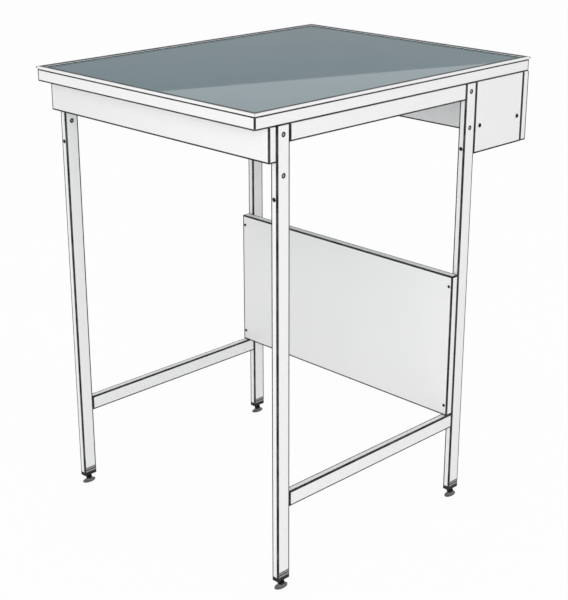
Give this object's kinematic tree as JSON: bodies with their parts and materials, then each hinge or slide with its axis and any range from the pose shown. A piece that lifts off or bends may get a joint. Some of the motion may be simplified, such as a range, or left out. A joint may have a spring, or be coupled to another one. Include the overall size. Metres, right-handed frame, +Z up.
{
  "type": "weighing balance table",
  "caption": "Rectangular weighing table: blue-grey slab in a raised white border on a white tube stand with front apron, rear panel, rear skirt and levelling feet.",
  "frame": {"origin": "on the floor under the middle of the table", "axes": "+X across the width to the user's right, +Y from the user's side to the rear skirt, +Z up"},
  "size_m": [0.6038, 0.75, 0.9],
  "materials": {
    "white_paint": "satin",
    "white_board": "satin",
    "stone_slab": "polished",
    "dark_rubber": "matte",
    "black_plastic": "satin",
    "black_steel": "satin",
    "zinc": "satin"
  },
  "bodies": {
    "frame": {"slab": "stone_slab", "slab_seal": "dark_rubber", "slab_buffer_front_left": "dark_rubber", "slab_buffer_front_right": "dark_rubber", "slab_buffer_rear_left": "dark_rubber", "slab_buffer_rear_right": "dark_rubber", "edge_front": "white_paint", "edge_rear": "white_paint", "edge_left": "white_paint", "edge_right": "white_paint", "leg_front_left": "white_paint", "leg_front_right": "white_paint", "leg_rear_left": "white_paint", "leg_rear_right": "white_paint", "upper_rail_left": "white_paint", "upper_rail_right": "white_paint", "lower_rail_left": "white_paint", "lower_rail_right": "white_paint", "cross_rail_front": "white_paint", "cross_rail_rear": "white_paint", "front_apron": "white_board", "rear_panel": "white_board", "rear_skirt": "white_board", "skirt_stay_left": "white_paint", "skirt_stay_right": "white_paint", "side_cover_left": "white_paint", "side_cover_right": "white_paint", "frame_bolt_front_left": "zinc", "frame_bolt_front_right": "zinc", "frame_bolt_rear_left": "zinc", "frame_bolt_rear_right": "zinc", "leg_bolt_front_left": "zinc", "leg_bolt_front_right": "zinc", "leg_bolt_rear_left": "zinc", "leg_bolt_rear_right": "zinc", "hole_plug_front_left": "black_plastic", "hole_plug_front_right": "black_plastic", "hole_plug_rear_left": "black_plastic", "hole_plug_rear_right": "black_plastic", "panel_screw_lower_left": "black_steel", "panel_screw_lower_right": "black_steel", "panel_screw_upper_left": "black_steel", "panel_screw_upper_right": "black_steel", "cover_screw_front_left": "black_steel", "cover_screw_front_right": "black_steel", "cover_screw_rear_left": "black_steel", "cover_screw_rear_right": "black_steel", "leg_cap_front_left": "black_plastic", "leg_cap_front_right": "black_plastic", "leg_cap_rear_left": "black_plastic", "leg_cap_rear_right": "black_plastic"},
    "foot_front_left": {"foot_pad_front_left": "black_plastic"},
    "spindle_front_left": {"foot_spindle_front_left": "black_steel"},
    "foot_front_right": {"foot_pad_front_right": "black_plastic"},
    "spindle_front_right": {"foot_spindle_front_right": "black_steel"},
    "foot_rear_left": {"foot_pad_rear_left": "black_plastic"},
    "spindle_rear_left": {"foot_spindle_rear_left": "black_steel"},
    "foot_rear_right": {"foot_pad_rear_right": "black_plastic"},
    "spindle_rear_right": {"foot_spindle_rear_right": "black_steel"}
  },
  "joints": [
    {"name": "foot_travel_front_left", "type": "slide", "parent": "frame", "child": "foot_front_left", "axis": [0, 0, 1], "range_m": [-0.01, 0.00375]},
    {"name": "spindle_turn_front_left", "type": "hinge", "parent": "foot_front_left", "child": "spindle_front_left", "pos_m": [-0.2925, -0.31, 0.014], "axis": [0, 0, 1], "range_deg": [-2885, 1085]},
    {"name": "foot_travel_front_right", "type": "slide", "parent": "frame", "child": "foot_front_right", "axis": [0, 0, 1], "range_m": [-0.01, 0.00375]},
    {"name": "spindle_turn_front_right", "type": "hinge", "parent": "foot_front_right", "child": "spindle_front_right", "pos_m": [0.2925, -0.31, 0.014], "axis": [0, 0, 1], "range_deg": [-2885, 1085]},
    {"name": "foot_travel_rear_left", "type": "slide", "parent": "frame", "child": "foot_rear_left", "axis": [0, 0, 1], "range_m": [-0.01, 0.00375]},
    {"name": "spindle_turn_rear_left", "type": "hinge", "parent": "foot_rear_left", "child": "spindle_rear_left", "pos_m": [-0.2925, 0.1895, 0.014], "axis": [0, 0, 1], "range_deg": [-2885, 1085]},
    {"name": "foot_travel_rear_right", "type": "slide", "parent": "frame", "child": "foot_rear_right", "axis": [0, 0, 1], "range_m": [-0.01, 0.00375]},
    {"name": "spindle_turn_rear_right", "type": "hinge", "parent": "foot_rear_right", "child": "spindle_rear_right", "pos_m": [0.2925, 0.1895, 0.014], "axis": [0, 0, 1], "range_deg": [-2885, 1085]}
  ],
  "couplings": [
    {"joint": "spindle_turn_front_left", "follows": "foot_travel_front_left", "rad_per_m": 5026.5},
    {"joint": "spindle_turn_front_right", "follows": "foot_travel_front_right", "rad_per_m": 5026.5},
    {"joint": "spindle_turn_rear_left", "follows": "foot_travel_rear_left", "rad_per_m": 5026.5},
    {"joint": "spindle_turn_rear_right", "follows": "foot_travel_rear_right", "rad_per_m": 5026.5}
  ]
}
